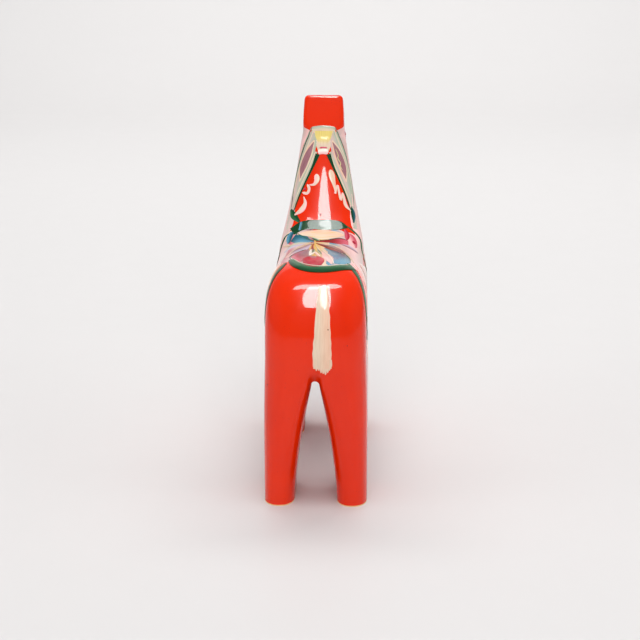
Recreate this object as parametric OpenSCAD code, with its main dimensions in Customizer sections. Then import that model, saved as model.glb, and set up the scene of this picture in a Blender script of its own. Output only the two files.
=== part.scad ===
// Dala horse, carved from a glued-up pine blank and painted red.
//
// The blank is two halves glued face to face on the middle plane. Each half
// is four upright staves, edge-glued, so that the grain runs down the legs.
// The horse faces +Y and stands on Z = 0, with its origin under its middle.

/* [Overall size] */
// Height from the feet to the tips of the ears
horse_height = 250; // [150:10:400]
// Length from the rump to the muzzle
horse_length = 240; // [150:10:380]
// Width across the barrel and the legs
horse_width = 68; // [40:1:100]

/* [Gap between the legs] */
// Width of the gap at the floor
gap_width = 28; // [16:1:36]
// Height of the gap, up to its blunt tip
gap_height = 85; // [70:1:90]
// Width of the blunt tip of the gap
gap_tip = 3; // [2:0.5:10]
// How the gap narrows: 1 is a straight wedge, more is a wider arch
gap_curve = 1.5; // [1:0.1:3]

/* [Staves of the blank] */
// Distance from the rump to the first joint of the left half
hind_joint = 78; // [77:1:84]
// Distance from the rump to the second joint of the left half
fore_joint = 126; // [116:1:128]
// Distance from the rump to the third joint of the left half
muzzle_joint = 200; // [199:1:206]
// How far the joints of the right half are staggered from those of the left
joint_stagger = 6; // [0:1:8]

/* [Smoothness] */
// Steps round each carved corner
corner_steps = 5; // [3:1:7]
// Rungs from one drawn rung to the next
rung_steps = 2; // [1:1:3]

/* [Hidden] */

// The tables below are drawn for a horse of this size, in millimetres, with
// Y counted from the rump, and are stretched to the sizes asked for.
drawn_height = 250;
drawn_length = 240;
drawn_width = 68;

paint_red = "orangered";
blank_margin = 20;

// Legs, from the foot up:
// [height, rear, front, outer face, inner rounding, outer rear rounding,
//  outer front rounding, depth of the rear rounding, depth of the front rounding]
hind_leg = [
    [0, 8, 55, 34, 9, 9, 9, 13, 12],
    [22, 6.8, 57, 34, 9, 9.5, 9, 13.5, 12],
    [45, 5, 61, 34, 8.5, 11.5, 9.5, 14.5, 12],
    [65, 3.2, 67.5, 33.8, 7, 15, 11, 16, 12],
    [80, 1.8, 76, 33.5, 5, 18, 13, 17.5, 12],
    [91, 0.9, 86, 33.2, 4, 20, 14, 18, 12],
    [104, 0.2, 95, 32.8, 4, 20, 14, 18, 12]
];
fore_leg = [
    [0, 146, 188, 33.2, 9, 9, 9, 12, 12],
    [22, 145.6, 189, 33.4, 9, 9, 9.5, 12, 12.5],
    [45, 144, 191, 33.4, 8.5, 9.5, 11, 12, 13],
    [65, 139.5, 193.3, 33, 7, 11, 14, 12, 14],
    [80, 131.5, 195.3, 32.6, 5, 13, 17, 12, 15],
    [91, 120.5, 196.4, 32.2, 4, 14, 18, 12, 15],
    [104, 111, 197.2, 31.9, 4, 14, 18, 12, 15]
];

// Body: a rung runs from its first end to its second across the side view.
// [first y, first z, second y, second z, half width,
//  rounding and depth of it at the first end, the same at the second end]
hindquarter = [
    [9, 85.5, 52, 85.5, 31.4, 12, 14, 4, 4],
    [4.5, 89.5, 52, 89.5, 32.6, 16, 16, 4, 4],
    [0.9, 94, 52, 94, 32.9, 20, 18, 4, 4],
    [0.2, 100, 52, 100, 32.9, 20, 18, 4, 4],
    [0, 110, 52, 110, 32.9, 20, 18, 4, 4],
    [0.9, 120, 52, 120, 32.8, 20, 18, 4, 4],
    [3.2, 130, 52, 130, 32.4, 20, 18, 4, 4],
    [7.2, 138.5, 52, 138.5, 31.4, 20, 18, 5, 4],
    [12.2, 145, 52, 145, 29.5, 20, 18, 6, 4],
    [18.4, 150, 52, 150, 27, 18, 17, 6, 4],
    [25.5, 153.6, 52, 153.6, 23.4, 15, 15, 6, 4],
    [33, 156, 52, 156, 18.5, 12, 12, 5, 4],
    [40, 157.2, 52, 157.2, 13, 8, 8, 4, 4]
];
barrel = [
    [30, 92, 30, 155, 32.8, 14, 12, 20, 24],
    [45, 91, 45, 157.2, 32.7, 14, 12, 20, 24],
    [60, 90, 60, 156.8, 32.5, 14, 12, 20, 24],
    [75, 90, 75, 155.3, 32.3, 14, 12, 20, 24],
    [88, 95.5, 88, 154, 32.3, 14, 12, 20, 24],
    [101, 97.5, 101, 153.5, 32.3, 14, 12, 20, 24],
    [113, 96.5, 113, 154.6, 32.2, 14, 12, 20, 25],
    [122, 91, 122, 157.4, 31.9, 14, 12, 20, 28],
    [130, 88, 130, 158, 31.7, 14, 12, 22, 30],
    [138, 88, 138, 156, 31.3, 14, 12, 22, 30]
];
neck = [
    [131, 90, 196.4, 90, 32.2, 4, 4, 18, 15],
    [124, 104, 197.2, 101, 32, 4, 4, 18, 15],
    [119, 122, 197, 112, 31.8, 6, 6, 18, 15],
    [116, 140, 195.2, 122, 30.9, 10, 10, 18, 15],
    [118, 153.6, 192, 132, 29.4, 18, 13, 17, 15],
    [127, 161, 189, 141.5, 27.7, 20, 13, 16, 14],
    [136.5, 171, 187.2, 149.5, 25.8, 20, 14, 15, 13],
    [145, 183.5, 187.8, 157, 23.5, 18.5, 14, 14, 12],
    [152, 197, 190.5, 166.5, 21, 17, 14, 13, 12],
    [156.5, 210, 195, 178, 18.7, 15, 13, 12, 12],
    [159.5, 220, 199, 192, 16.8, 12, 11, 11, 11],
    [163.5, 227.5, 201, 204, 15.2, 9, 9, 10, 10]
];
head = [
    [168, 229.5, 183, 160, 15.3, 7, 8, 9, 9],
    [183, 228, 193, 156.5, 15.4, 6.5, 7, 8, 8],
    [196, 219.5, 203, 155, 15.1, 6, 6.5, 7, 7],
    [208, 209.5, 212.5, 154.5, 14.6, 6, 6, 6.5, 6.5],
    [219, 199.5, 221, 155, 13.9, 5.5, 6, 6, 6],
    [229, 190.5, 228, 156, 13.3, 5.5, 5.5, 5.5, 5.5],
    [236, 184.5, 234.8, 158.8, 12.6, 5, 5, 5, 5],
    [240, 180.6, 240, 163.5, 10.8, 4, 4, 4, 4]
];
ears = [
    [159.9, 220, 190, 220, 15, 12, 12, 5, 5],
    [161, 225, 187, 227, 14.8, 8, 6, 4, 4],
    [162.1, 229.5, 184, 230.5, 14.7, 3, 2.2, 3.5, 3.5],
    [163.9, 237, 179.6, 237.5, 14.5, 1.6, 1.2, 2.5, 2.5],
    [166.8, 248.2, 172.8, 248.2, 13.8, 1.6, 1.2, 1.8, 1.6],
    [167.4, 250, 172.2, 250, 11.8, 1.4, 1, 1.4, 1.2]
];

// Half the width of the gap at a height: full at the floor, blunt at the top.
function gap_half(z) =
    let (t = min(z / gap_height, 1))
    gap_tip / 2 + (gap_width - gap_tip) / 2 * (1 - pow(t, gap_curve));

// One row between rows b and c of a table, on a smooth curve through them all.
function between(a, b, c, d, t) =
    0.5 * (2 * b + (c - a) * t
        + (2 * a - 5 * b + 4 * c - d) * pow(t, 2)
        + (3 * b - a - 3 * c + d) * pow(t, 3));
function smoothed(rows, steps) = let (last = len(rows) - 1) concat(
    [
        for (i = [0:last - 1], s = [0:steps - 1])
            between(rows[max(i - 1, 0)], rows[i], rows[i + 1],
                rows[min(i + 2, last)], s / steps)
    ],
    [rows[last]]
);

// Points of one rounded corner: centre, reach in x and in depth, first angle.
function corner(cx, cd, rx, rd, start) = [
    for (i = [0:corner_steps])
        let (a = start + 90 * i / corner_steps)
        [cx + rx * cos(a), cd + rd * sin(a)]
];

// A closed rung in space, from end a to end b of the side view, between x0 and x1.
// Each rounding is [at x0, at x1, depth].
function rung(x0, x1, a, b, round_a, round_b) =
    let (
        depth = norm(b - a),
        along = (b - a) / depth,
        flat = concat(
            corner(x1 - round_a[1], round_a[2], round_a[1], round_a[2], -90),
            corner(x1 - round_b[1], depth - round_b[2], round_b[1], round_b[2], 0),
            corner(x0 + round_b[0], depth - round_b[2], round_b[0], round_b[2], 90),
            corner(x0 + round_a[0], round_a[2], round_a[0], round_a[2], 180)
        )
    )
    [for (p = flat) [p[0], a[0] + along[0] * p[1], a[1] + along[1] * p[1]]];

function body_rung(r) =
    rung(-r[4], r[4], [r[0], r[1]], [r[2], r[3]], [r[5], r[5], r[6]], [r[7], r[7], r[8]]);
function leg_rung(r) =
    rung(gap_half(r[0]), r[3], [r[1], r[0]], [r[2], r[0]],
        [r[4], r[5], r[7]], [r[4], r[6], r[8]]);

// The convex block between two neighbouring rungs.
module block(ring_a, ring_b) {
    points = concat(ring_a, ring_b);
    hull() polyhedron(points, [[for (i = [0:len(points) - 1]) i]]);
}

module carved_through(rungs) {
    for (i = [0:len(rungs) - 2]) block(rungs[i], rungs[i + 1]);
}

module body_run(rows, steps) {
    carved_through([for (r = smoothed(rows, steps)) body_rung(r)]);
}

module leg(rows) {
    carved_through([for (r = smoothed(rows, rung_steps)) leg_rung(r)]);
}

module both_sides() {
    children();
    mirror([1, 0, 0]) children();
}

// The whole horse at its drawn size, with the rump at Y = 0.
module drawn_horse() {
    body_run(hindquarter, rung_steps);
    body_run(barrel, rung_steps);
    body_run(neck, rung_steps);
    body_run(head, rung_steps);
    body_run(ears, 1);
    both_sides() {
        leg(hind_leg);
        leg(fore_leg);
    }
}

module horse() {
    scale([
        horse_width / drawn_width,
        horse_length / drawn_length,
        horse_height / drawn_height
    ])
        translate([0, -drawn_length / 2, 0]) drawn_horse();
}

// The block of wood that one stave is sawn from: side is -1 for the left half
// of the horse and 1 for the right, and it spans y0 to y1 counted from the rump.
module stave_blank(side, y0, y1) {
    stretch = horse_length / drawn_length;
    thick = horse_width / 2 + blank_margin;
    tall = horse_height + 2 * blank_margin;
    translate([side < 0 ? -thick : 0, y0 * stretch - horse_length / 2, -blank_margin])
        cube([thick, (y1 - y0) * stretch, tall]);
}

module stave(side, y0, y1) {
    color(paint_red) intersection() {
        horse();
        stave_blank(side, y0, y1);
    }
}

module left_hind_stave() {
    stave(-1, -blank_margin, hind_joint);
}

module left_barrel_stave() {
    stave(-1, hind_joint, fore_joint);
}

module left_fore_stave() {
    stave(-1, fore_joint, muzzle_joint);
}

module left_muzzle_stave() {
    stave(-1, muzzle_joint, drawn_length + blank_margin);
}

module right_hind_stave() {
    stave(1, -blank_margin, hind_joint + joint_stagger);
}

module right_barrel_stave() {
    stave(1, hind_joint + joint_stagger, fore_joint - joint_stagger);
}

module right_fore_stave() {
    stave(1, fore_joint - joint_stagger, muzzle_joint + joint_stagger);
}

module right_muzzle_stave() {
    stave(1, muzzle_joint + joint_stagger, drawn_length + blank_margin);
}

left_hind_stave();
left_barrel_stave();
left_fore_stave();
left_muzzle_stave();
right_hind_stave();
right_barrel_stave();
right_fore_stave();
right_muzzle_stave();
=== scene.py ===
"""Finishes a carved dala horse: rounds the glued staves, lacquers them red and paints the
tail, mane, collar, saddle, harness and bridle over them with flat brushes."""

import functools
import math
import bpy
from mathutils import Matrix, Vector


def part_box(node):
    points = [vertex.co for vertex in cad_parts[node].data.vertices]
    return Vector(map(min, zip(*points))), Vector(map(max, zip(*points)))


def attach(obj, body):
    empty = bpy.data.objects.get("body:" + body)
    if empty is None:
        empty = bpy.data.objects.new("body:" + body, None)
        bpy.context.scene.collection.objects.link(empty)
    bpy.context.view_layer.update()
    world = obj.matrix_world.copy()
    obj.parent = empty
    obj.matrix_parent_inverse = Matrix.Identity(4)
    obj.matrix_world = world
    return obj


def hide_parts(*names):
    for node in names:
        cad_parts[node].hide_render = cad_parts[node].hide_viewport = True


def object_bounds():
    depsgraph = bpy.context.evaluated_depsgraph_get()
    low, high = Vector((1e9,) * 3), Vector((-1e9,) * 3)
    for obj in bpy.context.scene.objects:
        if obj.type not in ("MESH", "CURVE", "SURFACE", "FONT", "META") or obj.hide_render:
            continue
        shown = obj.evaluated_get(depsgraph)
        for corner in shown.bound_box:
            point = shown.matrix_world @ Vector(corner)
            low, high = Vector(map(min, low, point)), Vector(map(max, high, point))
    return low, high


bl_info = {
    "name": "Dala Horse Finish",
    "version": (1, 0, 0),
    "blender": (4, 5, 0),
    "location": "View3D > Sidebar > Dala Horse",
    "description": "Rounds, lacquers and paints a carved dala horse of eight glued staves",
    "category": "Object",
}

import bpy
import numpy as np
from bpy.props import FloatProperty, FloatVectorProperty, IntProperty, PointerProperty
from mathutils import Vector
from mathutils.bvhtree import BVHTree

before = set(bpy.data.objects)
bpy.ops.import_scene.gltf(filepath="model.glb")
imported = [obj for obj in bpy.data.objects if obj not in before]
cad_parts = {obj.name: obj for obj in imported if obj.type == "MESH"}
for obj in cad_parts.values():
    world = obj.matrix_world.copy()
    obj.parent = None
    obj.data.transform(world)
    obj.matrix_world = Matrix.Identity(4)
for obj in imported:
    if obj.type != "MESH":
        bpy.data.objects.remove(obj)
CAD_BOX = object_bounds()

MM = 0.001
STAVES = sorted(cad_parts)
RUMP = CAD_BOX[0].y  # where the rump ends; places along the horse are counted from it
LEFT, RIGHT = -1, 1
WOOD_CREASE = math.radians(42)  # edges of the wood sharper than this stay crisp
PAINT_CREASE = math.radians(50)
BACK, WITHERS = 150, 160  # usual heights of the back and of the foot of the neck, in mm
MOST_STEPS, MOST_HALF_STEPS = 170, 9  # faces along a stroke, and from its middle to an edge
THINNEST = 0.06  # half the width of a stroke where it is thinnest, in mm
UNSTEADY = 0.03  # how much the edges of a stroke stray, as a share of its width


def shade(red, green, blue):
    """A colour from its three screen values, 0 to 255, as Blender's linear values."""
    values = []
    for screen in (red, green, blue):
        part = screen / 255
        values.append(part / 12.92 if part <= 0.04045 else ((part + 0.055) / 1.055) ** 2.4)
    return tuple(values)


def length(name, description, default, low, high):
    """A length that a user may change, in metres."""
    return FloatProperty(
        name=name, description=description, default=default, min=low, max=high,
        precision=5, unit="LENGTH", subtype="DISTANCE",
    )


def colour(name, description, *screen):
    """A colour that a user may change, from its screen values."""
    return FloatVectorProperty(
        name=name, description=description, default=shade(*screen), min=0, max=1,
        size=3, subtype="COLOR",
    )


class DalaSizes(bpy.types.PropertyGroup):
    grain: length("Sanding Grain", "Size of the faces that the sanded wood is made of",
                  1.1 * MM, 0.6 * MM, 4 * MM)
    sanding: IntProperty(name="Sanding Strokes", description="How often the wood is smoothed",
                         default=110, min=10, max=400)
    paint_film: length("Paint Film", "Height of one coat of paint over the lacquer",
                       0.09 * MM, 0.02 * MM, 0.5 * MM)
    paint_body: length("Paint Body", "Extra height of the paint along the middle of a stroke",
                       0.12 * MM, 0.0, 0.5 * MM)
    paint_root: length("Paint Root", "How deep a stroke is sunk into the lacquer",
                       0.45 * MM, 0.1 * MM, 1 * MM)
    brush_step: length("Brush Step", "Size of the faces along a brush stroke",
                       0.8 * MM, 0.3 * MM, 3 * MM)


class DalaColours(bpy.types.PropertyGroup):
    lacquer: colour("Lacquer", "Body colour of the red lacquer", 222, 44, 3)
    lacquer_deep: colour("Deep Lacquer", "Red where the lacquer pools thick", 205, 32, 3)
    pine: colour("Pine", "Bare wood on the glued faces", 222, 186, 132)
    cream: colour("Cream", "Cream of the tail and mane", 218, 196, 172)
    white: colour("White", "White edges and dots", 240, 232, 220)
    yellow: colour("Yellow", "Yellow of the forelock", 222, 200, 116)
    gold: colour("Gold", "Thin golden lines", 214, 176, 92)
    peach: colour("Peach", "Warm side of the cream leaf", 226, 186, 160)
    pink: colour("Pink", "Pale pink petals", 236, 188, 184)
    rose: colour("Rose", "Rose of the blossoms", 196, 78, 96)
    crimson: colour("Crimson", "Crimson of the fruit", 166, 26, 52)
    oxblood: colour("Oxblood", "Dark red petals", 138, 34, 38)
    mauve: colour("Mauve", "Mauve leaves", 152, 104, 112)
    lilac: colour("Lilac", "Pale lilac petal ends", 190, 176, 196)
    teal: colour("Teal", "Dark teal petals", 26, 88, 104)
    sky: colour("Sky", "Light blue petals", 92, 146, 170)
    green: colour("Green", "Dark green bands", 12, 60, 30)
    leaf: colour("Leaf", "Mid green edges", 44, 98, 62)
    # mist is pale paint; in the mane washes it also stands for a painted sheen on the neck's edges and
    # sides
    mist: colour("Mist", "Pale grey pink washes", 206, 178, 172)
    sage: colour("Sage", "Grey green bands", 168, 178, 158)
    black: colour("Black", "Pupils and chips", 22, 18, 18)


class DalaStudio(bpy.types.PropertyGroup):
    camera_back: length("Camera Distance", "From the middle of the horse to the camera",
                        1.02, 0.4, 4)
    camera_height: length("Camera Height", "Height of the camera over the floor", 0.375, 0, 2)
    camera_turn: FloatProperty(name="Camera Turn", description="How far the camera stands to the side",
                               default=math.radians(2.1), subtype="ANGLE", unit="ROTATION")
    camera_tilt: FloatProperty(name="Camera Tilt", description="How far the camera looks down",
                               default=math.radians(15.28), subtype="ANGLE", unit="ROTATION")
    camera_lens: FloatProperty(name="Lens", description="Focal length in millimetres",
                               default=83.5, min=20, max=200)
    floor: colour("Floor", "Pale floor and backdrop", 206, 204, 203)
    floor_wide: length("Floor Width", "From the horse to either side of the floor", 3, 1, 8)
    floor_near: length("Near Floor", "From the horse to the near edge of the floor", 2.4, 1, 8)
    floor_far: length("Far Floor", "Where the backdrop starts to rise", 1.8, 1, 8)


def sizes():
    return bpy.context.scene.dala_sizes


def colours():
    """The colours, called c wherever strokes are pulled."""
    return bpy.context.scene.dala_colours


def studio():
    return bpy.context.scene.dala_studio


# ---------------------------------------------------------------- shared handwork


def pick(*objects):
    """Selects these objects and no others, and makes the first the active one."""
    bpy.ops.object.select_all(action="DESELECT")
    for obj in objects:
        obj.select_set(True)
    bpy.context.view_layer.objects.active = objects[0]
    return objects[0]


def modify(obj, kind, name, **settings):
    """Adds a modifier to an object and applies it."""
    pick(obj)
    modifier = obj.modifiers.new(name, kind)
    for setting, value in settings.items():
        setattr(modifier, setting, value)
    bpy.ops.object.modifier_apply(modifier=modifier.name)


def copy_of(source, name):
    """A copy of an object with a mesh of its own, riding on nothing."""
    obj = bpy.data.objects.new(name, source.data.copy())
    obj.data.name = name
    bpy.context.scene.collection.objects.link(obj)
    return obj


def places(obj):
    """The places of a mesh's vertices, one row each."""
    rows = np.empty(len(obj.data.vertices) * 3, np.float32)
    obj.data.vertices.foreach_get("co", rows)
    return rows.reshape(-1, 3)


def put(obj, rows):
    """Moves a mesh's vertices to new places, one row each."""
    obj.data.vertices.foreach_set("co", np.ascontiguousarray(rows, np.float32).ravel())
    obj.data.update()


def rides(obj, material):
    """Fixes a finished piece to the horse and gives it its finish."""
    if material.name not in obj.data.materials:
        obj.data.materials.clear()
        obj.data.materials.append(material)
    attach(obj, "root")


# ---------------------------------------------------------------- shader handwork


class Value:
    """A shader socket that can be added to, scaled and so on with plain operators."""

    def __init__(self, tree, socket):
        self.tree = tree
        self.socket = socket

    def sum(self, operation, *values):
        node = self.tree.nodes.new("ShaderNodeMath")
        node.operation = operation
        for entry, value in zip(node.inputs, values):
            if isinstance(value, Value):
                self.tree.links.new(value.socket, entry)
            else:
                entry.default_value = value
        return Value(self.tree, node.outputs[0])

    def __add__(self, other):
        return self.sum("ADD", self, other)

    __radd__ = __add__

    def __sub__(self, other):
        return self.sum("SUBTRACT", self, other)

    def __rsub__(self, other):
        return self.sum("SUBTRACT", other, self)

    def __mul__(self, other):
        return self.sum("MULTIPLY", self, other)

    __rmul__ = __mul__

    def over(self, low, high):
        """0 below low, 1 above high and a straight ramp between."""
        node = self.tree.nodes.new("ShaderNodeMapRange")
        self.tree.links.new(self.socket, node.inputs["Value"])
        node.inputs["From Min"].default_value = low
        node.inputs["From Max"].default_value = high
        return Value(self.tree, node.outputs["Result"])


class Finish:
    """A material being mixed: its node tree and its Principled shader."""

    def __init__(self, name):
        self.material = bpy.data.materials.new(name)
        self.material.use_nodes = True
        self.tree = self.material.node_tree
        self.skin = self.tree.nodes["Principled BSDF"]

    def node(self, kind, settings=None, inputs=None, output=0):
        """Adds a node: settings are set first, then its sockets are filled or linked."""
        node = self.tree.nodes.new("ShaderNode" + kind)
        for setting, value in (settings or {}).items():
            setattr(node, setting, value)
        for socket, value in (inputs or {}).items():
            self.fill(node.inputs[socket], value)
        return Value(self.tree, node.outputs[output])

    def fill(self, entry, value):
        """Links a socket or sets its value: a colour of three parts gets its fourth."""
        if isinstance(value, Value):
            self.tree.links.new(value.socket, entry)
        elif hasattr(value, "__len__"):
            entry.default_value = (*value, 1) if len(entry.default_value) > len(value) else value
        else:
            entry.default_value = value

    def here(self):
        """The Object coordinates."""
        return self.node("TexCoord", output=3)

    def stretched(self, vector, scale):
        return self.node("Mapping", inputs={"Vector": vector, "Scale": scale})

    def noise(self, vector, scale, detail=3, roughness=0.55):
        return self.node("TexNoise", inputs={
            "Vector": vector, "Scale": scale, "Detail": detail, "Roughness": roughness})

    def mixed(self, factor, first, second, blend="MIX"):
        """Two colours mixed by a factor."""
        return self.node("Mix", {"data_type": "RGBA", "blend_type": blend},
                         {0: factor, 6: first, 7: second}, output=2)

    def set(self, **sockets):
        """Fills the Principled shader's sockets: underscores stand for spaces."""
        for socket, value in sockets.items():
            self.fill(self.skin.inputs[socket.replace("_", " ")], value)

    def relief(self, height, distance, strength=1.0):
        """A Bump node on the shader's normal."""
        bump = self.node("Bump", inputs={
            "Height": height, "Distance": distance, "Strength": strength})
        self.set(Normal=bump)


def red_lacquer():
    """Thick glossy red lacquer over pine, with faint brush lines, dust and worn sole rims."""
    tints = colours()
    mix = Finish("red_lacquer")
    here = mix.here()
    pools = mix.noise(here, 22, detail=2).over(0.35, 0.7)
    brushed = mix.noise(mix.stretched(here, (1, 0.9, 0.06)), 900, detail=2)
    dust = mix.noise(here, 1300, detail=1).over(0.72, 0.76)
    height = mix.node("SeparateXYZ", inputs={0: here}, output=2)
    rim = 1 - height.over(0.0002, 0.0011)
    chipped = (rim * 1.6 + mix.noise(here, 420) - 1.05).over(0.0, 0.25)
    red = mix.mixed(pools * 0.45, tuple(tints.lacquer), tuple(tints.lacquer_deep))
    red = mix.mixed(dust * 0.5, red, tuple(tints.oxblood))
    red = mix.mixed(chipped, red, tuple(tints.pine))
    mix.set(
        Base_Color=red,
        Roughness=0.2 + brushed * 0.08 + chipped * 0.4,
        Coat_Weight=(1 - chipped) * 0.5,
        Coat_Roughness=0.035,
        IOR=1.15,
    )
    waves = mix.noise(here, 55, detail=1)
    mix.relief(waves + brushed * 0.035 + dust * 0.05, 0.0006, 0.35)
    return mix.material


def bare_pine():
    """Sawn pine with year rings, as on the glued faces between two staves."""
    tints = colours()
    mix = Finish("bare_pine")
    here = mix.here()
    rings = mix.node("TexWave", {"wave_type": "RINGS", "rings_direction": "Z"}, {
        "Vector": mix.stretched(here, (1, 1, 0.12)), "Scale": 60, "Distortion": 3.5, "Detail": 2})
    fibre = mix.noise(mix.stretched(here, (1, 1, 0.05)), 1400)
    wood = mix.mixed(rings * 0.6, tuple(tints.pine), tuple(tints.gold))
    wood = mix.mixed(fibre * 0.35, wood, tuple(tints.oxblood), "SOFT_LIGHT")
    mix.set(Base_Color=wood, Roughness=0.62 + fibre * 0.2)
    mix.relief(rings * 0.4 + fibre, 0.0002, 0.5)
    return mix.material


# ---------------------------------------------------------------- the carved horse

body_wood = {}  # the whole rounded horse and its surface, while the paint goes on


def sanding_share(across, depth, height):
    """How much of the sanding a place takes: ears, muzzle, legs and gap keep their edges.

    Each part fades in or out between two places, in metres.
    """
    ears = np.interp(height, [0.188, 0.22], [1, 0.0])
    legs = np.interp(height, [0.085, 0.112], [0.12, 1])
    muzzle = np.interp(depth, [0.07, 0.105], [1, 0.3])
    low = np.interp(height, [0.078, 0.09], [1, 0])
    gap = 1 - low * np.interp(np.abs(across), [0.014, 0.024], [1, 0])
    return np.minimum(np.minimum(ears, legs), np.minimum(muzzle, gap))


def lengthen_feet(obj):
    """Draws the soles down below the floor, so that they can be sawn off flat."""
    spare = 8 * MM
    flat = 0.99  # how straight down a sole's face looks
    pick(obj)
    bpy.ops.object.mode_set(mode="EDIT")
    bpy.ops.mesh.select_all(action="DESELECT")
    bpy.ops.object.mode_set(mode="OBJECT")
    for face in obj.data.polygons:
        face.select = face.center.z < 0.01 * MM and face.normal.z < -flat
    bpy.ops.object.mode_set(mode="EDIT")
    bpy.ops.mesh.extrude_region_move(TRANSFORM_OT_translate={"value": (0, 0, -spare)})
    bpy.ops.object.mode_set(mode="OBJECT")


def sand(obj):
    """Rounds the carved facets and puts back the fullness that sanding takes away."""
    rows = places(obj)
    share = sanding_share(*rows.T)
    steps = 24
    group = obj.vertex_groups.new(name="sanding")
    level = np.round(share * steps).astype(int)
    for step in range(1, steps + 1):
        members = np.nonzero(level == step)[0]
        if len(members):
            group.add(members.tolist(), step / steps, "REPLACE")
    strokes = {"factor": 0.5, "iterations": sizes().sanding, "vertex_group": "sanding"}
    modify(obj, "SMOOTH", "first_sanding", **strokes)
    once = places(obj)
    modify(obj, "SMOOTH", "second_sanding", **strokes)
    put(obj, 2 * once - places(obj))
    modify(obj, "SMOOTH", "last_sanding", factor=0.5, iterations=3)
    obj.vertex_groups.clear()


def saw(obj, place, outward):
    """Saws off what lies outward of a plane and closes the cut with a flat face."""
    pick(obj)
    bpy.ops.object.mode_set(mode="EDIT")
    bpy.ops.mesh.select_all(action="SELECT")
    bpy.ops.mesh.bisect(plane_co=place, plane_no=outward, use_fill=True, clear_outer=True)
    bpy.ops.mesh.quads_convert_to_tris()
    bpy.ops.object.mode_set(mode="OBJECT")


def sawn_stave(whole, name):
    """Saws one stave out of the rounded horse, with bare pine on its glued faces."""
    low, high = CAD_BOX
    stave_low, stave_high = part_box(name)
    stave = copy_of(whole, name + "_wood")
    inward = LEFT if name.startswith("left") else RIGHT
    saw(stave, (0, 0, 0), (-inward, 0, 0))
    cuts = [(Vector((inward, 0, 0)), 0.0)]
    if stave_high.y < high.y - MM:
        saw(stave, (0, stave_high.y, 0), (0, 1, 0))
        cuts.append((Vector((0, 1, 0)), stave_high.y))
    if stave_low.y > low.y + MM:
        saw(stave, (0, stave_low.y, 0), (0, -1, 0))
        cuts.append((Vector((0, 1, 0)), stave_low.y))
    if len(stave.data.polygons) < 100:
        raise RuntimeError(f"{name} was sawn away")
    for face in stave.data.polygons:
        for across, place in cuts:
            flat = abs(face.normal.dot(across)) > 0.999
            if flat and abs(face.center.dot(across) - place) < 0.005 * MM:
                face.material_index = 1
    return stave


class DALA_OT_carve(bpy.types.Operator):
    """Fuses the staves, rounds them as one horse and saws them apart again at the glue lines"""

    bl_idname = "dala.carve"
    bl_label = "Carve and Lacquer"

    def execute(self, context):
        lacquer, pine = red_lacquer(), bare_pine()
        blank = [copy_of(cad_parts[name], "blank_" + name) for name in STAVES]
        whole = pick(*blank)
        bpy.ops.object.join()
        whole.name = "whole_horse"
        bpy.ops.object.mode_set(mode="EDIT")
        bpy.ops.mesh.select_all(action="SELECT")
        bpy.ops.mesh.remove_doubles(threshold=0.02 * MM)
        bpy.ops.object.mode_set(mode="OBJECT")
        whole.vertex_groups.clear()
        lengthen_feet(whole)
        modify(whole, "REMESH", "sanding_grain", mode="VOXEL", voxel_size=sizes().grain)
        sand(whole)
        saw(whole, (0, 0, 0), (0, 0, -1))
        whole.data.materials.clear()
        whole.data.materials.append(lacquer)
        whole.data.materials.append(pine)
        pick(whole)
        bpy.ops.object.shade_smooth_by_angle(angle=WOOD_CREASE)

        for name in STAVES:
            stave = sawn_stave(whole, name)
            pick(stave)
            bpy.ops.object.shade_smooth_by_angle(angle=WOOD_CREASE)
            modify(stave, "DATA_TRANSFER", "shine_across_glue", object=whole,
                   use_loop_data=True, data_types_loops={"CUSTOM_NORMAL"},
                   loop_mapping="NEAREST_POLYNOR")
            rides(stave, lacquer)
            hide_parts(name)
        body_wood["surface"] = BVHTree.FromObject(whole, context.evaluated_depsgraph_get())
        bpy.data.objects.remove(whole)
        return {"FINISHED"}


# ---------------------------------------------------------------- brushwork


def smooth_rows(rows):
    """Close rows of numbers on a smooth line through the given ones."""
    rows = np.array(rows, float)
    ends = np.vstack([2 * rows[0] - rows[1], rows, 2 * rows[-1] - rows[-2]])
    fine = []
    for a, b, c, d in zip(ends, ends[1:], ends[2:], ends[3:]):
        for t in np.linspace(0, 1, 16, endpoint=False):
            fine.append(0.5 * (2 * b + (c - a) * t + (2 * a - 5 * b + 4 * c - d) * t**2
                               + (3 * b - a - 3 * c + d) * t**3))
    return np.array([*fine, rows[-1]])


def landed(start, heading, guess):
    """Where a line of sight meets the horse, or the nearest wood if it passes beside it."""
    surface = body_wood["surface"]
    hit = surface.ray_cast(Vector(start), Vector(heading))[0]
    return hit if hit is not None else surface.find_nearest(Vector(guess))[0]


def top(x, y):
    """A place on the back seen from above: mm from the middle, and from the rump."""
    x, y = x * MM, RUMP + y * MM
    return landed((x, y, (BACK + 25) * MM), (0, 0, -1), (x, y, BACK * MM))


def rear(x, z):
    """A place seen from behind: mm from the middle, and above the floor."""
    x, z = x * MM, z * MM
    neck_y = RUMP + 160 * MM if z > WITHERS * MM else RUMP
    return landed((x, RUMP - 50 * MM, z), (0, 1, 0), (x, neck_y, z))


def front(x, z):
    """A place on the chest or the face seen from the front."""
    x, z = x * MM, z * MM
    return landed((x, -RUMP + 50 * MM, z), (0, -1, 0), (x, -RUMP - 50 * MM, z))


def side(hand, y, z):
    """A place on the left or right side: mm from the rump, and above the floor."""
    y, z = RUMP + y * MM, z * MM
    return landed((hand * 60 * MM, y, z), (-hand, 0, 0), (hand * 20 * MM, y, z))


def rears(*pairs):
    return [rear(*pair) for pair in pairs]


def rears_at(hand, *pairs):
    """Places seen from behind, counted from the middle towards one hand."""
    return [rear(hand * x, z) for x, z in pairs]


def tops(*pairs):
    return [top(*pair) for pair in pairs]


def sides(hand, *pairs):
    return [side(hand, *pair) for pair in pairs]


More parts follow.
